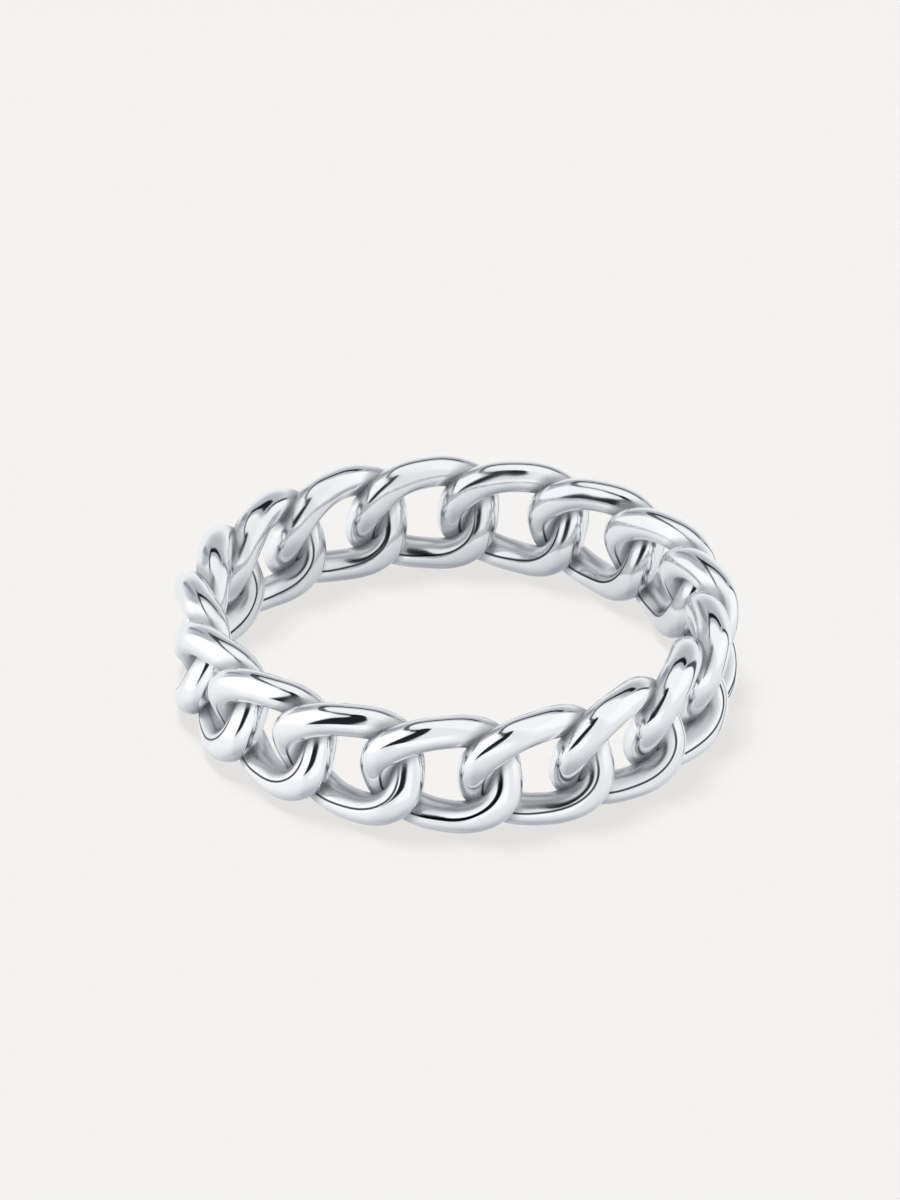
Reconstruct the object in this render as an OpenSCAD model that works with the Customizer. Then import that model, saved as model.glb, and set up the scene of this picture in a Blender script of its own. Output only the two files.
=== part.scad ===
// Finger ring made of one closed round of interlocking curb links, lying on its side.
// Millimetres. Z is the ring's axis, and the origin is the centre of the finger opening.

/* [Ring] */
// Diameter of the circle that runs through the middle of every link
ring_d = 19.3; // [18:0.1:22]
// Number of links in the closed round
link_count = 17; // [16:1:18]
// Height of the band, which is the height of one link
band_h = 4.68; // [4.6:0.02:5.6]

/* [Wire] */
// Width of the wire along the top and bottom bars, seen from outside the ring
bar_w = 1.18; // [0.9:0.01:1.2]
// Thickness of the wire through the band, along the bars
bar_t = 1.3; // [0.9:0.01:1.3]
// Width of the wire round the two ends of a link, seen from outside the ring
tip_w = 1.05; // [0.8:0.01:1.1]
// Thickness of the wire through the band, round the two ends of a link
tip_t = 0.87; // [0.7:0.01:0.88]
// Play between the ends of neighbouring links at half height
tip_gap = 0.08; // [0.06:0.01:0.2]

/* [Link shape] */
// Lean of the two ends of a link out of the band, in degrees
twist = 31; // [31:0.5:35]
// Power by which the lean grows towards the ends, where 1 is an even twist
twist_power = 1.2; // [1:0.1:1.3]
// Squareness of the link's oval, where 2 is an ellipse
squareness = 2.7; // [2.6:0.1:3]

/* [Facets] */
// Cross sections round one link
section_count = 36; // [24:4:48]
// Sides of the wire
wire_sides = 12; // [8:2:16]

/* [Hidden] */
ring_r = ring_d / 2;
link_pitch = 2 * PI * ring_r / link_count;
// Two ends lie side by side where neighbours interlock, so they set how long a link is.
link_l = link_pitch + 2 * tip_w + tip_gap;
// Half the length and half the height of the oval that the middle of the wire follows
half_l = (link_l - tip_w) / 2;
half_h = (band_h - bar_w) / 2;
// The first link stands at the front of the ring, on -Y.
front_angle = -90;
section_step = 360 / section_count;
side_step = 360 / wire_sides;

function unit(v) = v / norm(v);

function signed_power(v, power) = sign(v) * pow(abs(v), power);

// Point of the flat oval at parameter u, as distance along the band and height
function oval_point(u) = [
    half_l * signed_power(cos(u), 2 / squareness),
    half_h * signed_power(sin(u), 2 / squareness)
];

// Share of the way from the middle of a link to its end, at distance x along the band
function end_share(x) = abs(x) / half_l;

// Lean of the oval's plane at distance x along the band: the top of the link leans
// out of the ring at one end and into it at the other, so that neighbours can cross.
function lean_at(x) = -twist * signed_power(x / half_l, twist_power);

// Middle of the wire in the unrolled band: [along, outward, up]
function wire_middle(u) =
    let (flat = oval_point(u), lean = lean_at(flat.x))
    [flat.x, flat.y * sin(lean), flat.y * cos(lean)];

// The wire narrows evenly from the middle of a bar towards the ends of the link.
function narrowed(at_bar, at_tip, x) = at_bar + (at_tip - at_bar) * end_share(x);

// Direction through the leaning oval, square to the wire
function through_wire(lean, tangent) =
    let (normal = [0, cos(lean), -sin(lean)])
    unit(normal - (normal * tangent) * tangent);

// One oval cross section of the wire at parameter u
function wire_section(u) =
    let (
        middle = wire_middle(u),
        tangent = unit(wire_middle(u + section_step) - wire_middle(u - section_step)),
        through = through_wire(lean_at(middle.x), tangent),
        across = cross(tangent, through),
        half_t = narrowed(bar_t, tip_t, middle.x) / 2,
        half_w = narrowed(bar_w, tip_w, middle.x) / 2
    )
    [
        for (k = [0:wire_sides - 1])
            middle
                + half_t * cos(k * side_step) * through
                + half_w * sin(k * side_step) * across
    ];

// Rolls the straight band up into the ring: length along the band becomes an angle.
function rolled(p) =
    let (angle = front_angle + p.x / ring_r * 180 / PI, radius = ring_r + p.y)
    [radius * cos(angle), radius * sin(angle), p.z];

// One closed link: a wire swept round the leaning oval and rolled into the ring
module curb_link() {
    points = [
        for (j = [0:section_count - 1])
            for (p = wire_section(j * section_step))
                rolled(p)
    ];
    faces = [
        for (j = [0:section_count - 1], k = [0:wire_sides - 1])
            let (
                next_j = (j + 1) % section_count,
                next_k = (k + 1) % wire_sides,
                here = j * wire_sides + k,
                beside = j * wire_sides + next_k,
                ahead = next_j * wire_sides + k,
                opposite = next_j * wire_sides + next_k
            )
            each [[here, beside, opposite], [here, opposite, ahead]]
    ];
    polyhedron(points = points, faces = faces, convexity = 6);
}

// A link at its place in the round, counted from the front towards +X
module link(index) {
    color("silver")
        rotate([0, 0, index * 360 / link_count])
            curb_link();
}

for (index = [0:link_count - 1]) {
    link(index);
}
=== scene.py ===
# %% [markdown]
# # A finger ring of interlocking curb links
# The real object is a silver ring made of seventeen oval wire links that pass through each
# other in one closed round. It lies on its side on a pale surface. This lesson dresses the
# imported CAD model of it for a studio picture. It starts by loading that model as a fixed
# frame, and keeps its box, because the finished piece must stay inside it.

# %% Load the frame
import math

import bpy
from mathutils import Matrix, Vector


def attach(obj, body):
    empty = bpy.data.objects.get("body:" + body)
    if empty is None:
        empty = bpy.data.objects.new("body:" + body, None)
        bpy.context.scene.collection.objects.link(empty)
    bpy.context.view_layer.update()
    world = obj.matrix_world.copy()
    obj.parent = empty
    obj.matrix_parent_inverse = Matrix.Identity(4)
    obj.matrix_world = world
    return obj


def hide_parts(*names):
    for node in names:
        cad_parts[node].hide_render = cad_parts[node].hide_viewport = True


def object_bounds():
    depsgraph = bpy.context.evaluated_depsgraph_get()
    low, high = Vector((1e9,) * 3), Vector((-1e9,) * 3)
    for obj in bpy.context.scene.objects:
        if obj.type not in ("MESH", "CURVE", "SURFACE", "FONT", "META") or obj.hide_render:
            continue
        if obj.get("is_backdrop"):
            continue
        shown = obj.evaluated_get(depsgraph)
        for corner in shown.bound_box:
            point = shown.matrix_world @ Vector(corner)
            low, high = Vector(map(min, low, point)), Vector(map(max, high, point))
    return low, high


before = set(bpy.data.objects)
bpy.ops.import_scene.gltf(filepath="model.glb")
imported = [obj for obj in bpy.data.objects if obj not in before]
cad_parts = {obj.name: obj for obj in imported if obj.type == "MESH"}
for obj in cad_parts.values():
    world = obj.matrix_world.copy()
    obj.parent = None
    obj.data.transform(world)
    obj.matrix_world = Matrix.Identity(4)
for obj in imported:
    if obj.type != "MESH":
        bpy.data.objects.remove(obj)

cad_low, cad_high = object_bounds()
link_nodes = sorted(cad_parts)
MM = 0.001
cad_size = [(high - low) / MM for low, high in zip(cad_low, cad_high)]
print(f"{len(link_nodes)} links, {cad_size[0]:.2f} x {cad_size[1]:.2f} x {cad_size[2]:.2f} mm")

# %% [markdown]
# ## One helper for sums in node trees
# The shape of a link, the finish of the silver and the light of the studio are all worked out
# by nodes. Written node by node, a sum such as 1 - a * b takes a dozen lines. A small class
# that wraps one output socket lets Python's own operators add the Math nodes instead, and
# one method adds any other node: its settings first, then the value or link of each socket.

# %% The Signal class
class Signal:
    """One output socket of a node tree. Operators on it add Math nodes."""

    def __init__(self, tree, socket=None):
        self.tree, self.socket = tree, socket

    def node(self, kind, settings=None, inputs=None, out=0):
        """Adds a node of this kind and returns one of its outputs."""
        made = self.tree.nodes.new(kind)
        for name, value in (settings or {}).items():
            setattr(made, name, value)
        for name, value in (inputs or {}).items():
            for one in value if isinstance(value, list) else [value]:
                if isinstance(one, Signal):
                    self.tree.links.new(one.socket, made.inputs[name])
                else:
                    made.inputs[name].default_value = one
        return Signal(self.tree, made.outputs[out])

    def other(self, out):
        """Another output of the same node."""
        return Signal(self.tree, self.socket.node.outputs[out])

    def math(self, operation, *values):
        """A Math node on these values, or on this signal where none is given."""
        values = values or (self,)
        return self.node("ShaderNodeMath", {"operation": operation}, dict(enumerate(values)))

    def __add__(self, value):
        return self.math("ADD", self, value)

    def __sub__(self, value):
        return self.math("SUBTRACT", self, value)

    def __rsub__(self, value):
        return self.math("SUBTRACT", value, self)

    def __mul__(self, value):
        return self.math("MULTIPLY", self, value)

    def __truediv__(self, value):
        return self.math("DIVIDE", self, value)

    def __rtruediv__(self, value):
        return self.math("DIVIDE", value, self)

    def __pow__(self, value):
        return self.math("POWER", self, value)

    __radd__ = __add__
    __rmul__ = __mul__

    def above(self, limit):
        """How far the signal is above the limit, and 0 below it."""
        return self.math("MAXIMUM", self - limit, 0.0)

    def ramp(self, low, high, at_low=0.0, at_high=1.0, shape="SMOOTHSTEP"):
        """Goes from at_low to at_high while the signal goes from low to high."""
        inputs = {"Value": self, "From Min": low, "From Max": high}
        inputs.update({"To Min": at_low, "To Max": at_high})
        return self.node("ShaderNodeMapRange", {"interpolation_type": shape}, inputs)

    def fade(self, low, high):
        """Goes from 1 down to 0 while the signal goes from low to high."""
        return self.ramp(low, high, 1.0, 0.0)

    def band(self, low, high, edge):
        """1 between low and high, 0 outside, with soft edges of this width."""
        rise = self.ramp(low - edge / 2, low + edge / 2)
        return rise * self.fade(high - edge / 2, high + edge / 2)

    def mix(self, a, b):
        """Colour a where the signal is 0, colour b where it is 1."""
        inputs = {"Factor": self, "A": a, "B": b}
        return self.node("ShaderNodeMix", {"data_type": "RGBA"}, inputs, 2)


print("a Signal turns + - * / and ** into Math nodes")

# %% [markdown]
# ## The sizes of the ring
# A curb link is an oval of wire whose two ends are twisted out of the band, one way at the
# top and the other way at the bottom. That lets every link lie over one neighbour and under
# the other. The sizes could be read off the CAD mesh, but they are few, so they are repeated
# here by name. They differ from the CAD model's where the links meet: its solids keep a gap,
# while the real links touch, so the ends are wider here, lean a little less and just run into
# each other. Two ends lie side by side wherever two links meet, which sets a link's length.

# %% Sizes in metres and angles
FULL_TURN = 2 * math.pi
LINK_COUNT = len(link_nodes)
RING_RADIUS = 9.60 * MM
BAND_HEIGHT = 4.68 * MM
BAR_WIDTH, BAR_THICKNESS = 1.168 * MM, 1.336 * MM
TIP_WIDTH, TIP_THICKNESS = 1.333 * MM, 1.329 * MM
TIP_GAP = -0.2367 * MM
TWIST = math.radians(25.6)
TWIST_POWER = 1.1
SQUARENESS = 2.593
OUTER_FLAT, INNER_FLAT = 1.085 * MM, 1.05 * MM
FLAT_SOFTNESS = 0.3319 * MM

link_pitch = FULL_TURN * RING_RADIUS / LINK_COUNT
half_length = (link_pitch + TIP_WIDTH + TIP_GAP) / 2
half_height = (BAND_HEIGHT - BAR_WIDTH) / 2
print(f"pitch {link_pitch / MM:.3f} mm, link {2 * (half_length + TIP_WIDTH / 2) / MM:.3f} mm long")

# %% [markdown]
# ## The links, by Geometry Nodes
# The same link repeats seventeen times and follows a rule, which is what Geometry Nodes are
# for. Modelling it by hand with a curve and a bevel would be quicker, but a bevel can't turn
# its section along the wire as the real one does. So the tree starts from a plain closed tube
# and works out the place of every point: round a squared oval, leaning out of the band
# towards both ends, and then rolled up into the ring.
#
# First comes the tree itself, with a named input for each size. A hundred sections of 56
# points keep the reflections smooth both along the wire and round it, and leave the whole
# ring under the 200,000 triangles that its export allows.

# %% The tree and its named inputs
SECTIONS = 100
WIRE_SIDES = 56

tree = bpy.data.node_groups.new("Round_of_curb_links", "GeometryNodeTree")
size_of = {
    "Ring radius": RING_RADIUS,
    "Half length": half_length,
    "Half height": half_height,
    "Bar width": BAR_WIDTH,
    "Bar thickness": BAR_THICKNESS,
    "Tip width": TIP_WIDTH,
    "Tip thickness": TIP_THICKNESS,
    "Twist": TWIST,
    "Twist power": TWIST_POWER,
    "Squareness": SQUARENESS,
    "Outer flat": OUTER_FLAT,
    "Inner flat": INNER_FLAT,
    "Flat softness": FLAT_SOFTNESS,
}
count_of = {"Links": LINK_COUNT, "Sections": SECTIONS, "Wire sides": WIRE_SIDES}
tree.interface.new_socket("Geometry", in_out="INPUT", socket_type="NodeSocketGeometry")
input_ids = {}
for name in [*size_of, *count_of]:
    kind = "NodeSocketFloat" if name in size_of else "NodeSocketInt"
    made_socket = tree.interface.new_socket(name, in_out="INPUT", socket_type=kind)
    input_ids[name] = made_socket.identifier
tree.interface.new_socket("Geometry", in_out="OUTPUT", socket_type="NodeSocketGeometry")

start = Signal(tree)
group_input = start.node("NodeGroupInput")
given = {name: group_input.other(name) for name in input_ids}
print(f"{len(input_ids)} named inputs")

# %% [markdown]
# The wire of a link is closed, without a seam. A circle swept along another circle by Curve
# to Mesh gives such a tube, and numbers its points section by section. So the index of a
# point tells where it is round the oval and where it is round the wire, and nothing has to be
# stored on the curves. The tube's faces point inwards at first, so they are flipped.

# %% A closed tube
CIRCLE = "GeometryNodeCurvePrimitiveCircle"
oval = start.node(CIRCLE, None, {"Resolution": given["Sections"]})
wire = start.node(CIRCLE, None, {"Resolution": given["Wire sides"]})
inward_tube = start.node("GeometryNodeCurveToMesh", None, {"Curve": oval, "Profile Curve": wire})
tube = start.node("GeometryNodeFlipFaces", None, {"Mesh": inward_tube})

index = start.node("GeometryNodeInputIndex")
section = (index / given["Wire sides"]).math("FLOOR")
side = index - section * given["Wire sides"]
turn = section * FULL_TURN / given["Sections"]
side_turn = side * FULL_TURN / given["Wire sides"]
print(f"{SECTIONS} sections of {WIRE_SIDES} points, {SECTIONS * WIRE_SIDES} points a link")

# %% [markdown]
# The middle of the wire is a superellipse, an oval with squarer shoulders, as on a link that
# is bent round a flat rod. Its plane leans further and further towards the two ends. Points
# drawn by hand could follow that too, but one rule keeps all quarters of the link alike. The
# rule is needed three times, at a point and just before and after it, so it is a function
# that adds its nodes each time.

# %% The middle line of the wire
def signed_power(value, power):
    """A power of the size of a value, with the value's own sign."""
    return value.math("SIGN") * value.math("ABSOLUTE") ** power


def lean_at(along):
    """Lean of the oval's plane at this distance along the band."""
    return -1 * given["Twist"] * signed_power(along / given["Half length"], given["Twist power"])


def wire_middle(turn):
    """Middle of the wire in the flat band, and how far along the band it is."""
    rounding = 2 / given["Squareness"]
    along = given["Half length"] * signed_power(turn.math("COSINE"), rounding)
    height = given["Half height"] * signed_power(turn.math("SINE"), rounding)
    lean = lean_at(along)
    outward, up = height * lean.math("SINE"), height * lean.math("COSINE")
    return turn.node("ShaderNodeCombineXYZ", None, {0: along, 1: outward, 2: up}), along


middle, along = wire_middle(turn)
print(f"middle line {2 * half_length / MM:.3f} mm long and {2 * half_height / MM:.3f} mm high")

# %% [markdown]
# The wire's section stands square to its middle line, or the wire would look pinched in the
# bends. Curve to Mesh could turn the section by itself, but it would let it roll freely
# along the twisted line. So the directions are worked out here: one along the wire, from a
# point just ahead and one just behind, one straight through the leaning link, and one across
# both, which points to the link's outer edge or to its opening.

# %% Directions square to the wire
TANGENT_STEP = math.radians(2.5)


def vector_math(operation, a, b=None, out="Vector"):
    """A Vector Math node on one or two vectors."""
    values = {0: a} if b is None else {0: a, 1: b}
    return a.node("ShaderNodeVectorMath", {"operation": operation}, values, out)


def scaled(vector, length):
    """A vector times a number."""
    settings = {"operation": "SCALE"}
    return vector.node("ShaderNodeVectorMath", settings, {"Vector": vector, "Scale": length})


ahead, _ = wire_middle(turn + TANGENT_STEP)
behind, _ = wire_middle(turn - TANGENT_STEP)
tangent = vector_math("NORMALIZE", vector_math("SUBTRACT", ahead, behind))
lean = lean_at(along)
inputs = {1: lean.math("COSINE"), 2: -1 * lean.math("SINE")}
facing = start.node("ShaderNodeCombineXYZ", None, inputs)
slip = scaled(tangent, vector_math("DOT_PRODUCT", facing, tangent, "Value"))
through = vector_math("NORMALIZE", vector_math("SUBTRACT", facing, slip))
across = vector_math("CROSS_PRODUCT", tangent, through)
print(f"directions from points {math.degrees(TANGENT_STEP)} degrees ahead and behind")

# %% [markdown]
# The section itself is an ellipse, a little thicker through the band than it is wide. It
# widens slightly from the bars towards the two ends, where the neighbours meet. Scaling a
# finished link would change its outline too, so the width and thickness are worked out point
# by point, and each point goes that far from the middle line.

# %% The wire's section
end_share = (along / given["Half length"]).math("ABSOLUTE")


def half_size(at_bar, at_tip):
    """Half of a size that goes from its value on the bars to its value at the ends."""
    return (at_bar + (at_tip - at_bar) * end_share ** 2) / 2


half_thickness = half_size(given["Bar thickness"], given["Tip thickness"])
half_width = half_size(given["Bar width"], given["Tip width"])
out_through = scaled(through, half_thickness * side_turn.math("COSINE"))
out_across = scaled(across, half_width * side_turn.math("SINE"))
flat_place = vector_math("ADD", vector_math("ADD", middle, out_through), out_across)
print(f"wire {BAR_WIDTH / MM:.2f} x {BAR_THICKNESS / MM:.2f} mm on the bars")

# %% [markdown]
# So far the link stands in a straight band. A real chain is closed into a round, and a bend
# modifier could do that, but here it is one more sum: the distance along the band becomes an
# angle and the distance outward a radius. The outward distance is softly limited on both
# faces first, because curb links are pressed and filed a little flat there. The first link
# stands at the front.

# %% Roll the band up into the ring
flat_along = start.node("ShaderNodeSeparateXYZ", None, {0: flat_place})
flat_outward, flat_up = flat_along.other("Y"), flat_along.other("Z")
ring_angle = flat_along / given["Ring radius"] - FULL_TURN / 4
flat_softness = given["Flat softness"]
outward = start.math("SMOOTH_MIN", flat_outward, given["Outer flat"], flat_softness)
outward = start.math("SMOOTH_MAX", outward, -1 * given["Inner flat"], flat_softness)
radius = given["Ring radius"] + outward
x, y = radius * ring_angle.math("COSINE"), radius * ring_angle.math("SINE")
ring_place = start.node("ShaderNodeCombineXYZ", None, {0: x, 1: y, 2: flat_up})
first_link = start.node("GeometryNodeSetPosition", None, {"Geometry": tube, "Position": ring_place})
print(f"first link rolled to a radius of {RING_RADIUS / MM:.2f} mm")

# %% [markdown]
# Where two links meet, a polishing wheel can't reach, so the silver stays rougher there, and
# its colour gets painted shade. The sides of the wire that face a link's own opening are
# satin too, with painted shade in their colour as well. Both could be painted by hand, but
# then they would have to be painted again after each change of shape. So each point
# remembers two values: how near the neighbouring links are, and how squarely the point faces
# the opening, from 1 straight at it to -1 away from it. The neighbours are the same link
# turned by one place each way, so they can be measured before the round is made.

# %% What each point remembers
turn_per_link = FULL_TURN / given["Links"]


def turned(geometry, angle):
    """The geometry turned by an angle about the ring's axis."""
    spin = geometry.node("ShaderNodeCombineXYZ", None, {2: angle})
    return geometry.node("GeometryNodeTransform", None, {"Geometry": geometry, "Rotation": spin})


def remembering(geometry, name, value):
    """The geometry with a value stored on its points under a name."""
    settings = {"data_type": "FLOAT", "domain": "POINT"}
    inputs = {"Geometry": geometry, "Name": name, "Value": value}
    return geometry.node("GeometryNodeStoreNamedAttribute", settings, inputs)


neighbours = [turned(first_link, turn_per_link), turned(first_link, -1 * turn_per_link)]
both = start.node("GeometryNodeJoinGeometry", None, {"Geometry": neighbours})
nearness = start.node("GeometryNodeProximity", {"target_element": "FACES"}, {0: both}, "Distance")
marked_link = remembering(first_link, "neighbour_distance", nearness)
marked_link = remembering(marked_link, "toward_opening", side_turn.math("SINE"))
print(f"neighbours {math.degrees(FULL_TURN / LINK_COUNT):.2f} degrees to each side")

# %% [markdown]
# The last nodes set one link on each place of the round, make the copies real, shade them
# smooth and give them their material. An array modifier could repeat the link as well, but
# instances keep the tree in one piece. The copies have to be real in the end because the
# finished piece is a plain mesh that other programs can read.

# %% The whole round
silver = bpy.data.materials.new("Polished_silver")
silver.use_nodes = True
places = start.node("GeometryNodePoints", None, {"Count": given["Links"]})
place_turn = start.node("ShaderNodeCombineXYZ", None, {2: turn_per_link * index})
inputs = {"Points": places, "Instance": marked_link, "Rotation": place_turn}
round_of_links = start.node("GeometryNodeInstanceOnPoints", None, inputs)
real_links = start.node("GeometryNodeRealizeInstances", None, {0: round_of_links})
smooth_links = start.node("GeometryNodeSetShadeSmooth", None, {0: real_links})
inputs = {"Geometry": smooth_links, "Material": silver}
finished = start.node("GeometryNodeSetMaterial", None, inputs)
group_output = tree.nodes.new("NodeGroupOutput")
tree.links.new(finished.socket, group_output.inputs[0])
print(f"{len(tree.nodes)} nodes in the tree")

# %% [markdown]
# A modifier runs the tree on an object that has nothing of its own. Its inputs are set by the
# identifiers of their sockets before anything is evaluated. The modifier could stay live, but
# then every later step would depend on it, so the result is copied out as a plain mesh, and
# the modifier goes away with the object that carried it.

# %% A plain mesh from the tree
carrier = bpy.data.objects.new("carrier", bpy.data.meshes.new("carrier"))
bpy.context.scene.collection.objects.link(carrier)
modifier = carrier.modifiers.new("Round of links", "NODES")
modifier.node_group = tree
for name, value in {**size_of, **count_of}.items():
    modifier[input_ids[name]] = value

graph = bpy.context.evaluated_depsgraph_get()
ring_mesh = bpy.data.meshes.new_from_object(carrier.evaluated_get(graph))
ring_mesh.name = "curb_links"
bpy.data.objects.remove(carrier)
ring = bpy.data.objects.new("curb_links", ring_mesh)
bpy.context.scene.collection.objects.link(ring)
print(f"{len(ring_mesh.vertices)} points, attributes {sorted(ring_mesh.attributes.keys())}")

# %% [markdown]
# The mesh is measured before it is painted. Its radii and height can be set against the real
# ring, and its volume, summed up from thin pyramids between the origin and each triangle,
# against the solids. A volume that comes out positive also tells that the faces point
# outwards, which is quicker than looking at them one by one.

# %% Measure the mesh
ring_mesh.calc_loop_triangles()
points = [vertex.co for vertex in ring_mesh.vertices]
radii = [math.hypot(point.x, point.y) / MM for point in points]
volume = 0.0
for triangle in ring_mesh.loop_triangles:
    a, b, c = (points[corner] for corner in triangle.vertices)
    volume += a.dot(b.cross(c)) / 6 / MM ** 3
top = max(point.z for point in points) / MM
print(f"{len(ring_mesh.loop_triangles)} triangles, volume {volume:.1f} cubic mm")
print(f"radii {min(radii):.3f} to {max(radii):.3f} mm, top {top:.3f} mm")

# %% [markdown]
# ## The silver
# The ring is bright polished silver, cool in tone. A picture wrapped round it would be one
# way to get its marks, but nodes give them at any closeness. All of them are worked out from
# the object's own coordinates and from the two stored values, so they stay where they are on
# the ring in every view.
#
# First comes where a point lies: how far from the ring's axis, how high, how near another
# link and how squarely it faces the opening.

# %% Where a point lies
silver.node_tree.nodes.clear()
paint = Signal(silver.node_tree)


def remembered(name):
    """A value that the links' tree stored on the points."""
    return paint.node("ShaderNodeAttribute", {"attribute_name": name}, None, "Fac")


place = paint.node("ShaderNodeTexCoord", None, None, "Object")
x_here = paint.node("ShaderNodeSeparateXYZ", None, {0: place})
y_here, z_here = x_here.other("Y"), x_here.other("Z")
radius_here = (x_here * x_here + y_here * y_here) ** 0.5
distance = remembered("neighbour_distance")
toward_opening = remembered("toward_opening")
print(f"{len(silver.node_tree.nodes)} nodes tell where a point of the silver lies")

# %% [markdown]
# Hand polish is never even, and the roughness further down shows it. The colour is brightest
# on the outside and on top, and painted shade greys it in the crossings, on the sides that
# face an opening and on the finger side, more so low down. Beside an opening the lower bars
# get the darkest painted shade, on their outer half. A separate material for each of these
# would show hard borders, so each gives a soft mask, and the strongest one counts.

# %% Where painted shade darkens the silver
# How much painted shade greys the colour at each place, 1 being the full grey.
CROSSING_SHADE = 0.75
FINGER_SHADE, FINGER_SHADE_LOW = 0.16, 0.20
OPENING_SHADE, OPENING_SHADE_LOW = 0.26, 0.34

crossing = distance.fade(0.09 * MM, 0.50 * MM)
finger_side = (RING_RADIUS - radius_here).ramp(0.15 * MM, 0.75 * MM)
opening_side = toward_opening.ramp(0.42, 0.82)
low_down = z_here.fade(-1.2 * MM, 0.6 * MM)
outer_half = (radius_here - RING_RADIUS).ramp(-0.35 * MM, 0.25 * MM)
# Painted shade on the finger side and beside an opening, deeper low down.
finger_shade = finger_side * (FINGER_SHADE + FINGER_SHADE_LOW * low_down)
opening_shade = opening_side * (OPENING_SHADE + OPENING_SHADE_LOW * low_down * outer_half)
# The strongest of the masks sets the painted shade in the colour.
painted_shade = paint.math("MAXIMUM", crossing * CROSSING_SHADE, finger_shade)
painted_shade = paint.math("MAXIMUM", painted_shade, opening_shade)
deepest_side_shade = OPENING_SHADE + OPENING_SHADE_LOW
print(f"dull up to {deepest_side_shade:.2f} beside an opening and {CROSSING_SHADE} in a crossing")

# %% [markdown]
# The colour goes from bright silver to the grey of painted shade by that mask. Along the
# shoulder of the lower bars, where the polish ends and the satin side begins, a painted
# reflection draws a thin dark line. It could be a groove in the mesh, but the line shows no
# depth, so it is a narrow band of the value that tells how squarely a point faces the opening.

# %% The colour of the silver
SILVER = (0.925, 0.935, 0.95, 1)
# The grey that the painted shade mixes into the silver.
PAINTED_SHADE_GREY = (0.40, 0.412, 0.432, 1)
REFLECTION_LINE_COLOR = (0.04, 0.043, 0.05, 1)
REFLECTION_LINE_STRENGTH = 0.97
LINE_FROM, LINE_TO = 0.28, 0.41

# A painted reflection: a thin dark line along the shoulder of the lower bars.
on_shoulder = toward_opening.band(LINE_FROM, LINE_TO, edge=0.06)
painted_reflection_line = on_shoulder * z_here.fade(-0.2 * MM, 0.9 * MM)
# The silver goes to the grey of painted shade by that mask.
tone = painted_shade.mix(SILVER, PAINTED_SHADE_GREY)
# The painted reflection line goes over the colour.
tone = (painted_reflection_line * REFLECTION_LINE_STRENGTH).mix(tone, REFLECTION_LINE_COLOR)
line_turn = math.degrees(math.asin(LINE_TO) - math.asin(LINE_FROM))
print(f"shoulder line over {line_turn:.1f} of the section's 360 degrees")

# %% [markdown]
# Polish by hand leaves the wire very slightly wavy, which bends the reflections, and a few
# fine hairlines that only show in a highlight. In the crossings the surface keeps a fine
# grain. All three are noise at their own scale: waves of about a millimetre, grain of a tenth
# of one, and hairlines from noise that a Mapping node draws out along one direction. The
# waves are far too low to model, so they go into a bump.

# %% Waves, grain and hairlines
POLISH_ROUGHNESS, CROSSING_ROUGHNESS = 0.06, 0.46
FINGER_ROUGH, OPENING_ROUGH = 0.25, 0.6
HAIRLINE_ROUGHNESS = 0.02
WAVE_HEIGHT, GRAIN_HEIGHT = 0.0015, 0.0003


def noise(vector, spots_per_metre, detail):
    """Soft random values, the same in every run."""
    inputs = {"Vector": vector, "Scale": spots_per_metre, "Detail": detail}
    return paint.node("ShaderNodeTexNoise", None, inputs)


wave = noise(place, 900.0, 1.0)
grain = noise(place, 9000.0, 3.0)
drawn_out = {"Vector": place, "Rotation": (0.3, 0.5, 0.2), "Scale": (1, 1, 14)}
hairline = noise(paint.node("ShaderNodeMapping", None, drawn_out), 2600.0, 2.0)

rough_place = crossing * grain.ramp(0.2, 0.8, 0.7, 1.0)
rough_place = paint.math("MAXIMUM", rough_place, finger_side * FINGER_ROUGH)
rough_place = paint.math("MAXIMUM", rough_place, opening_side * OPENING_ROUGH)
roughness = POLISH_ROUGHNESS + (CROSSING_ROUGHNESS - POLISH_ROUGHNESS) * rough_place
roughness = roughness + HAIRLINE_ROUGHNESS * hairline.ramp(0.55, 0.75)
height = wave * WAVE_HEIGHT * MM + crossing * grain * GRAIN_HEIGHT * MM
print(f"waves of up to {WAVE_HEIGHT * 1000:.1f} micrometres")

# %% [markdown]
# One metallic Principled shader takes the colour, the roughness and the bump. Metal has no
# colour of its own under a gloss, so a mix of a diffuse and a glossy shader would look like
# grey paint. Its other values are the same all over and stay as they are.

# %% The silver's shader
bump = paint.node("ShaderNodeBump", None, {"Height": height, "Distance": 1.0, "Strength": 1.0})
inputs = {"Base Color": tone, "Metallic": 1.0, "Roughness": roughness, "Normal": bump}
shader = paint.node("ShaderNodeBsdfPrincipled", None, inputs)
material_output = silver.node_tree.nodes.new("ShaderNodeOutputMaterial")
silver.node_tree.links.new(shader.socket, material_output.inputs["Surface"])
print(f"{len(silver.node_tree.nodes)} nodes in the silver")

# %% [markdown]
# ## In place of the CAD links
# The real ring is rigid: its links touch all round and keep their shape as a band, so the
# mesh rides on the one body there is. It stands for all seventeen solids, which stay behind
# it as the shape that things collide with. A mesh for each link could stand for its own
# solid, but the links run into each other here, and one closed round is what they look like.

# %% The piece takes the place of the CAD links
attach(ring, "root")
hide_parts(*link_nodes)
print(f"{ring.name} stands for {link_nodes[0]} to {link_nodes[-1]}")

# %% [markdown]
# ## Floor
# The ring lies on its side on a plain pale surface, which fades into the background without
# an edge. A curved backdrop would do that too, but one flat square is enough when it reaches
# far past the view. It is rough, without any shine, and the silver doesn't mirror it: what
# the silver sees from below belongs to the studio, where it can be set apart from the floor's
# own colour.

# %% Floor
FLOOR_HALF = 2.0
FLOOR_COLOR = (0.80, 0.79, 0.775, 1)

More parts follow.
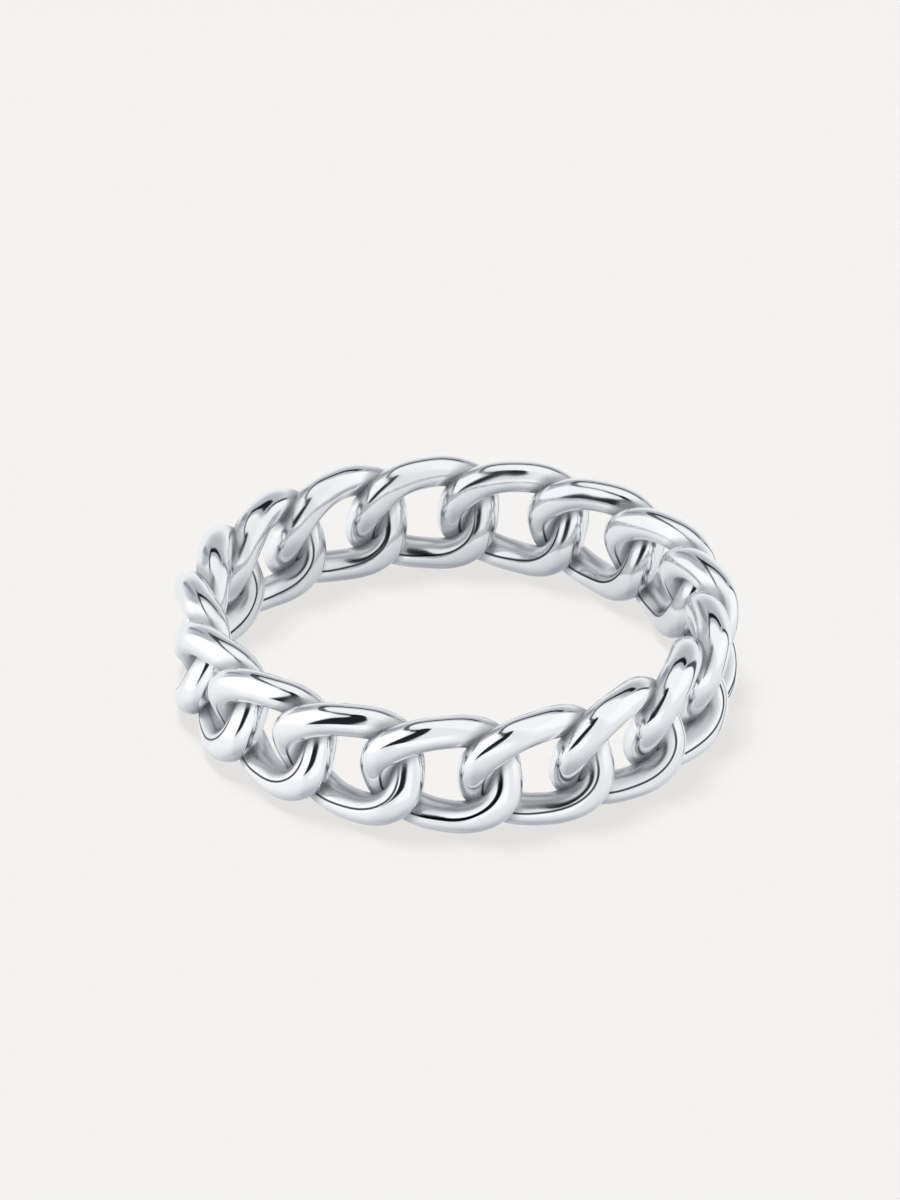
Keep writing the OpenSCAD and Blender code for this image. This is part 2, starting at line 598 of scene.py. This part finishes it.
floor_mesh = bpy.data.meshes.new("floor")
corners = [(x * FLOOR_HALF, y * FLOOR_HALF) for x, y in ((-1, -1), (1, -1), (1, 1), (-1, 1))]
floor_mesh.from_pydata([(x, y, cad_low.z) for x, y in corners], [], [(0, 1, 2, 3)])
floor = bpy.data.objects.new("floor", floor_mesh)
bpy.context.scene.collection.objects.link(floor)
floor_paint = bpy.data.materials.new("Pale_floor")
floor_paint.use_nodes = True
floor_shader = floor_paint.node_tree.nodes["Principled BSDF"]
floor_shader.inputs["Base Color"].default_value = FLOOR_COLOR
floor_shader.inputs["Roughness"].default_value = 1.0
floor_shader.inputs["Specular IOR Level"].default_value = 0.0
floor_mesh.materials.append(floor_paint)
floor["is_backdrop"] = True
floor.visible_glossy = False
print(f"floor at {cad_low.z / MM:.2f} mm, under the lower bars")

# %% [markdown]
# ## The studio
# A polished ring shows the studio more than itself: white softboxes to the left and right, a
# light overhead, a grey wall behind, and thin black cards between them that draw the dark
# lines in the metal. Lamps and cards could be set up as objects, but every one of them would
# also light the floor. The ring is tiny beside its studio, so it is enough to say how bright
# each direction is, and the world's own shader does that.
#
# A direction is given by two angles in degrees. The azimuth is 0 behind the ring, 90 on the
# right and -90 on the left. A second azimuth, from 0 to 360, has 180 in front, so that what
# stands there isn't cut in two.

# %% Directions
world = bpy.data.worlds.new("Studio")
bpy.context.scene.world = world
world.use_nodes = True
world.node_tree.nodes.clear()
sky = Signal(world.node_tree)
DEGREES = 360 / FULL_TURN

direction = sky.node("ShaderNodeTexCoord", None, None, "Generated")
toward_right = sky.node("ShaderNodeSeparateXYZ", None, {0: direction})
toward_back, upward = toward_right.other("Y"), toward_right.other("Z")
azimuth = sky.math("ARCTAN2", toward_right, toward_back) * DEGREES
elevation = upward.math("ARCSINE") * DEGREES
full_azimuth = azimuth + 360 * azimuth.math("LESS_THAN", azimuth, 0.0)
print(f"{len(world.node_tree.nodes)} nodes give the angles of a direction")

# %% [markdown]
# A softbox or a card is a rounded box of directions with a soft edge. Its distance is worked
# out as for any rounded box, from how far a direction is beside it and above or below it. The
# studio is built up as paint is laid on, each light covering what is already there where its
# mask is 1.

# %% Areas of light
def box_distance(left, right, bottom, top, corner):
    """Degrees outside (or, negative, inside) a rounded box of directions."""
    beside = (azimuth - (left + right) / 2).math("ABSOLUTE") - ((right - left) / 2 - corner)
    beyond = (elevation - (bottom + top) / 2).math("ABSOLUTE") - ((top - bottom) / 2 - corner)
    reach_x, reach_y = sky.math("MAXIMUM", beside, 0.0), sky.math("MAXIMUM", beyond, 0.0)
    within = sky.math("MINIMUM", sky.math("MAXIMUM", beside, beyond), 0.0)
    return (reach_x * reach_x + reach_y * reach_y) ** 0.5 + within - corner


def area(left, right, bottom, top, corner, edge):
    """1 inside a rounded box of directions, 0 outside."""
    return box_distance(left, right, bottom, top, corner).fade(-edge / 2, edge / 2)


def covered(level, light, mask):
    """The level of light so far, covered by this light where the mask is 1."""
    return level + (light - level) * mask


print("an area of light has two azimuths, two elevations, a corner and an edge")

# %% [markdown]
# From below, the silver sees the floor: lighter towards the horizon and on the left, darkest
# where the ring shades it. On top of that come a bright softbox on the left, a softer one on
# the right, the light overhead, and a white card in front, low down under the line of the
# camera. The levels are what the metal shows at those places, where 1 is the white of paper.

# %% Floor seen from the ring, softboxes and front card
FLOOR_NEAR, ROOM = 0.48, 0.86
FLOOR_GLOW = 0.10
LEFT_SOFTBOX, RIGHT_SOFTBOX, OVERHEAD, FRONT_CARD = 1.08, 1.02, 0.96, 1.02

level = elevation.ramp(-75, -20, FLOOR_NEAR, ROOM) + FLOOR_GLOW * azimuth.band(-140, -40, edge=30)
level = covered(level, ROOM, elevation.ramp(-14, 0))
left_side = area(left=-144, right=-56, bottom=-12, top=70, corner=20, edge=12)
level = covered(level, LEFT_SOFTBOX, left_side)
right_side = area(left=44, right=120, bottom=0, top=84, corner=20, edge=26)
level = covered(level, RIGHT_SOFTBOX, right_side)
level = covered(level, OVERHEAD, elevation.ramp(44, 54) * azimuth.band(-34, 110, edge=12))
front = full_azimuth.band(148, 202, edge=20) * elevation.band(-16, 20, edge=12)
level = covered(level, FRONT_CARD, front)
print(f"levels of light from {FLOOR_NEAR} under the ring to {LEFT_SOFTBOX} on the left")

# %% [markdown]
# Behind the ring stands a grey wall, lighter at its foot and darker higher up. The faces of
# the links that look upwards mirror it, as the even greys between the whites. One grey for
# the whole wall would look flat in them, so it is a gradient, with a narrow darker card in
# its left part.

# %% Back wall
WALL_FOOT, WALL_TOP, WALL_CARD = 0.90, 0.51, 0.32

wall = elevation.ramp(6, 31, WALL_FOOT, WALL_TOP)
level = covered(level, wall, area(left=-58, right=47, bottom=-34, top=50, corner=16, edge=8))
level = covered(level, WALL_CARD, area(left=-38, right=-27, bottom=14, top=40, corner=5, edge=6))
print(f"wall from {WALL_FOOT} at its foot to {WALL_TOP} at its top")

# %% [markdown]
# Thin black lines run through the bright metal. They could be painted on the silver, but then
# they wouldn't move over it when the ring turns, as reflections do. They are narrow black
# cards instead: a bar over the back wall, and a thin line down the wall's right side that
# leans a little.

# %% Black bar and side line
BAR = {"left": -16, "right": 35, "bottom": 36, "top": 43}
SIDE_FOOT, SIDE_LEAN = 49, 0.18

bar = area(**BAR, corner=3, edge=2)
beside_line = (azimuth - (SIDE_FOOT - SIDE_LEAN * elevation)).math("ABSOLUTE")
side_line = beside_line.fade(2, 4) * elevation.band(-32, 36, edge=6)
print(f"bar {BAR['right'] - BAR['left']} degrees wide and {BAR['top'] - BAR['bottom']} high")

# %% [markdown]
# A dark arch stands over the left softbox, and its reflection is the smooth dark arc along
# the tops of the links on the left. One arch without a break does this: a rectangle of
# darkness would leave torn ends in the curved metal. Its middle rises from its knee towards
# the left, up to a limit, and falls towards the right.

# %% Dark arch
ARCH_KNEE, ARCH_HEIGHT, ARCH_RISE = -38, 57, 22.0
RISE_SLOPE, FALL_SLOPE = 0.5, 0.8

left_of_knee = sky.math("MAXIMUM", ARCH_KNEE - azimuth, 0.0)
arch_rise = sky.math("MINIMUM", RISE_SLOPE * left_of_knee, ARCH_RISE)
arch_fall = FALL_SLOPE * azimuth.above(ARCH_KNEE)
beside_arch = (elevation - (ARCH_HEIGHT + arch_rise - arch_fall)).math("ABSOLUTE")
arch = beside_arch.fade(3, 6) * full_azimuth.band(205, 347, edge=8)
print(f"arch {ARCH_HEIGHT} degrees high at its knee, up to {ARCH_HEIGHT + ARCH_RISE:.0f}")

# %% [markdown]
# The boldest black in the ring mirrors the dark opening of the studio in front, beside the
# camera. A rounded box would be too stiff for it. It is a strip a little to the left, which
# leans to the right as it rises and opens out near the top, where all azimuths come
# together. So each of its edges is a line of its own in the two angles. The right edge is
# soft at first and gets sharp higher up.

# %% Black strip in front
EDGE = 3
STRIP_LEFT, STRIP_RIGHT = 225, 185

over_15, over_70 = elevation.above(15), elevation.above(70)
left_edge = STRIP_LEFT - 0.27 * elevation + 0.25 * over_70 * over_70
right_edge = STRIP_RIGHT - 0.25 * over_15 - 0.004 * over_15 * over_15 - 0.1 * over_70 * over_70
bottom_edge = 0.5 * (222 - full_azimuth) - 4
right_softness = elevation.ramp(20, 55, 10, EDGE)
strip = (full_azimuth - left_edge).fade(-EDGE, EDGE)
strip = strip * (full_azimuth - right_edge).ramp(-1 * right_softness, right_softness)
strip = strip * (elevation - bottom_edge).ramp(-EDGE, EDGE)
print(f"strip {STRIP_LEFT - STRIP_RIGHT} degrees wide at the height of the ring")

# %% [markdown]
# The four dark shapes take their share off the light. What is left also sets the colour: the
# darker reflections in polished silver are slightly blue, and the whites are neutral.
#
# A ring this bright would throw curved glows on the floor around it. The real floor shows
# none, so the tent of light is switched off for rays that have already met a matt surface.
# The camera itself doesn't see the tent either, only a plain backdrop in the floor's tone.

# %% The tent of light and the backdrop
BAR_DARK, SIDE_DARK, ARCH_DARK, STRIP_DARK = 0.98, 0.90, 0.85, 0.98
COOL, NEUTRAL = (0.92, 0.98, 1.09, 1), (1, 1, 1, 1)
FLOOR_TONE = (0.9047, 0.8963, 0.8796, 1)

dark = (1 - BAR_DARK * bar) * (1 - SIDE_DARK * side_line)
dark = dark * (1 - ARCH_DARK * arch) * (1 - STRIP_DARK * strip)
level = level * dark
cast = level.ramp(0.1, 0.95, shape="LINEAR").mix(COOL, NEUTRAL)
matt_bounces = sky.node("ShaderNodeLightPath", None, None, "Diffuse Depth")
level = level * matt_bounces.math("LESS_THAN", matt_bounces, 0.5)
tent = sky.node("ShaderNodeBackground", None, {"Color": cast, "Strength": level})
backdrop = sky.node("ShaderNodeBackground", None, {"Color": FLOOR_TONE, "Strength": 1.0})
seen = matt_bounces.other("Is Camera Ray")
both_skies = sky.node("ShaderNodeMixShader", None, {0: seen, 1: tent, 2: backdrop})
world_output = world.node_tree.nodes.new("ShaderNodeOutputWorld")
world.node_tree.links.new(both_skies.socket, world_output.inputs["Surface"])
world.cycles_visibility.diffuse = False
print(f"{len(world.node_tree.nodes)} nodes in the studio")

# %% [markdown]
# Two suns light the floor, which the tent doesn't. The key light stands high, a little to the
# left and behind, and its size of 20 degrees gives the ring its one soft shadow. The fill
# light makes up the rest of the floor's brightness without any shadow. Area lights would
# leave a bright spot on the floor, and suns don't. The fill light is kept small, because a
# large one without shadows still darkens the floor close to the ring.

# %% Suns
def sun(name, energy, angle, toward, shadow):
    """A sun lamp in this direction, which the silver doesn't mirror."""
    data = bpy.data.lights.new(name, "SUN")
    data.energy, data.angle, data.use_shadow = energy, math.radians(angle), shadow
    lamp = bpy.data.objects.new(name, data)
    bpy.context.scene.collection.objects.link(lamp)
    lamp.rotation_mode = "QUATERNION"
    lamp.rotation_quaternion = Vector(toward).normalized().to_track_quat("Z", "Y")
    lamp.visible_glossy = False
    print(f"{name}: energy {energy}, {angle} degrees across")


sun("key", energy=0.58, angle=20, toward=(-0.17, 0.13, 1.0), shadow=True)
sun("fill", energy=3.00, angle=2, toward=(0, 0, 1), shadow=False)

# %% [markdown]
# Blender's usual view transform rolls bright tones off towards grey. That suits a room, but a
# picture of polished metal on a pale ground keeps its whites, so the plain one is used.

# %% View transform
view = bpy.context.scene.view_settings
view.view_transform = "Standard"
print(f"view transform {view.view_transform}")

# %% [markdown]
# ## Camera
# The picture looks down on the ring from the front through a long lens, so the far links are
# hardly smaller than the near ones. The camera could be aimed with a constraint, but it also
# has a slight roll, so its three axes are worked out and set at once. The lens follows from
# how many pixels a metre takes up at the ring, and a small shift sets the ring in the image.

# %% Camera
VIEW_AZIMUTH, VIEW_ELEVATION = math.radians(2.619), math.radians(30.756)
ROLL = math.radians(-0.757)
DISTANCE = 323.6 * MM
IMAGE_HEIGHT = 1200
PIXELS_PER_METRE = 26.70 / MM
SHIFT_RIGHT, SHIFT_UP = -5.04, 39.77
SENSOR = 36

back = Vector((
    math.sin(VIEW_AZIMUTH) * math.cos(VIEW_ELEVATION),
    -math.cos(VIEW_AZIMUTH) * math.cos(VIEW_ELEVATION),
    math.sin(VIEW_ELEVATION),
))
level_right = Vector((math.cos(VIEW_AZIMUTH), math.sin(VIEW_AZIMUTH), 0))
level_up = back.cross(level_right)
right = level_right * math.cos(ROLL) - level_up * math.sin(ROLL)
up = level_right * math.sin(ROLL) + level_up * math.cos(ROLL)
camera_data = bpy.data.cameras.new("camera")
camera_data.sensor_width = SENSOR
camera_data.lens = PIXELS_PER_METRE * DISTANCE / IMAGE_HEIGHT * SENSOR
camera_data.shift_x, camera_data.shift_y = SHIFT_RIGHT / IMAGE_HEIGHT, SHIFT_UP / IMAGE_HEIGHT
camera_data.clip_start, camera_data.clip_end = 0.01, 10
camera = bpy.data.objects.new("camera", camera_data)
bpy.context.scene.collection.objects.link(camera)
axes = Matrix((right, up, back)).transposed().to_4x4()
camera.matrix_world = Matrix.Translation(back * DISTANCE) @ axes
bpy.context.scene.camera = camera
print(f"lens {camera_data.lens:.1f} mm")

# %% [markdown]
# ## Sizes and the end
# The finished ring has to fill the CAD model's box, so both boxes are printed. They could be
# compared by eye in the viewport, but a difference of a hundredth of a millimetre only shows
# in numbers.

# %% Sizes and the end
low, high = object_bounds()
for name, a, b in zip("xyz", zip(cad_low, cad_high), zip(low, high)):
    print(f"{name}: solids {a[0] / MM:.4f} {a[1] / MM:.4f}, dressed {b[0] / MM:.4f} {b[1] / MM:.4f}")
